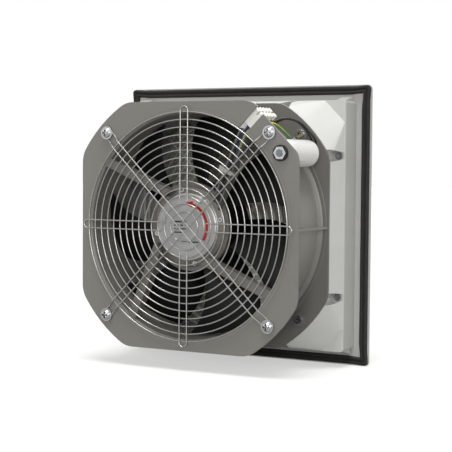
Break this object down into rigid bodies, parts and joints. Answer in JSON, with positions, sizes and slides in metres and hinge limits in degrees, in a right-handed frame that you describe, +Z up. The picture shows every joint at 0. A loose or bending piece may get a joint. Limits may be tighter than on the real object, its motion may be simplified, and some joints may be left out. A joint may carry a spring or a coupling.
{
  "type": "enclosure filter fan",
  "caption": "Plug-in filter fan for an enclosure panel: louvred cover, mat, gasketed frame and a guarded square axial fan with outboard terminal block and capacitor.",
  "frame": {"origin": "centre of the panel cut-out, on the panel's outer face where the gasket seals", "axes": "+Y out of the panel into the enclosure, along the fan axis; +Z up; the louvred cover faces -Y"},
  "size_m": [0.325, 0.1762, 0.325],
  "materials": {
    "frame_plastic": "moulded light grey plastic, fine spark-eroded grain",
    "cover_plastic": "moulded light grey plastic, fine grain",
    "grille_plastic": "moulded light grey plastic",
    "carrier_plastic": "moulded pale grey plastic, satin",
    "gasket_foam": "foamed polyurethane, matt black skin",
    "mat_fleece": "needled polyester fibre mat, off white",
    "grey_paint": "powder coat, satin mid grey",
    "bright_wire": "zinc plated steel wire, bright",
    "zinc_plate": "zinc plated steel, clear passivated",
    "dark_screw": "black oxide steel",
    "cast_aluminium": "die-cast aluminium, turned face",
    "label_foil": "matt silver foil disc with a plain printed arrow",
    "core_steel": "stacked electrical steel",
    "winding_copper": "enamelled copper wire, varnished",
    "bearing_steel": "ground bearing steel",
    "rotor_black": "black painted steel",
    "cage_metal": "laminated steel with cast aluminium cage",
    "blade_black": "glass filled polyamide, black, satin",
    "nylon_white": "natural white polyamide",
    "clamp_brass": "nickel free brass",
    "capacitor_white": "white moulded plastic can",
    "rubber_black": "black rubber",
    "sleeve_black": "black PVC sleeve",
    "pvc_blue": "blue PVC insulation",
    "pvc_brown": "brown PVC insulation",
    "pvc_black": "black PVC insulation",
    "pvc_earth": "green and yellow PVC insulation",
    "tin_plate": "tin plated copper tag"
  },
  "bodies": {
    "housing": {"frame": "frame_plastic", "gasket": "gasket_foam", "support_grille": "grille_plastic", "filter_mat": "mat_fleece", "hinge_pins": "zinc_plate", "cover_catches": "cover_plastic", "fan_carrier": "carrier_plastic", "carrier_screws": "dark_screw", "nozzle": "grey_paint", "inlet_ring": "grey_paint", "rear_plate": "grey_paint", "front_plate": "grey_paint", "plate_webs": "grey_paint", "housing_screws": "zinc_plate", "housing_nuts": "zinc_plate", "guard_rings": "bright_wire", "guard_spokes": "bright_wire", "guard_screws": "zinc_plate", "guard_nuts": "zinc_plate", "motor_struts": "grey_paint", "stator_flange": "cast_aluminium", "stator_screws": "zinc_plate", "motor_label": "label_foil", "stator_core": "core_steel", "stator_winding": "winding_copper", "bearings": "bearing_steel", "terminal_block": "nylon_white", "terminal_screws": "clamp_brass", "capacitor": "capacitor_white", "capacitor_washer": "rubber_black", "capacitor_nut": "zinc_plate", "lead_grommet": "rubber_black", "motor_lead": "sleeve_black", "cable_tie": "nylon_white", "blue_wire": "pvc_blue", "brown_wire": "pvc_brown", "black_wire": "pvc_black", "capacitor_leads": "pvc_black", "earth_wire": "pvc_earth", "earth_lug": "tin_plate", "earth_screw": "zinc_plate"},
    "rotor": {"rotor_shaft": "bearing_steel", "shaft_clip": "dark_screw", "rotor_can": "rotor_black", "rotor_cage": "cage_metal", "impeller": "blade_black"},
    "cover": {"louvre_cover": "cover_plastic", "louvre_slats": "cover_plastic"}
  },
  "joints": [
    {"name": "impeller_spin", "type": "hinge", "parent": "housing", "child": "rotor", "pos_m": [0, 0.1, 0], "axis": [0, 1, 0], "continuous": true},
    {"name": "cover_hinge", "type": "hinge", "parent": "housing", "child": "cover", "pos_m": [0, -0.0169, -0.153], "axis": [1, 0, 0], "range_deg": [0, 90]}
  ]
}
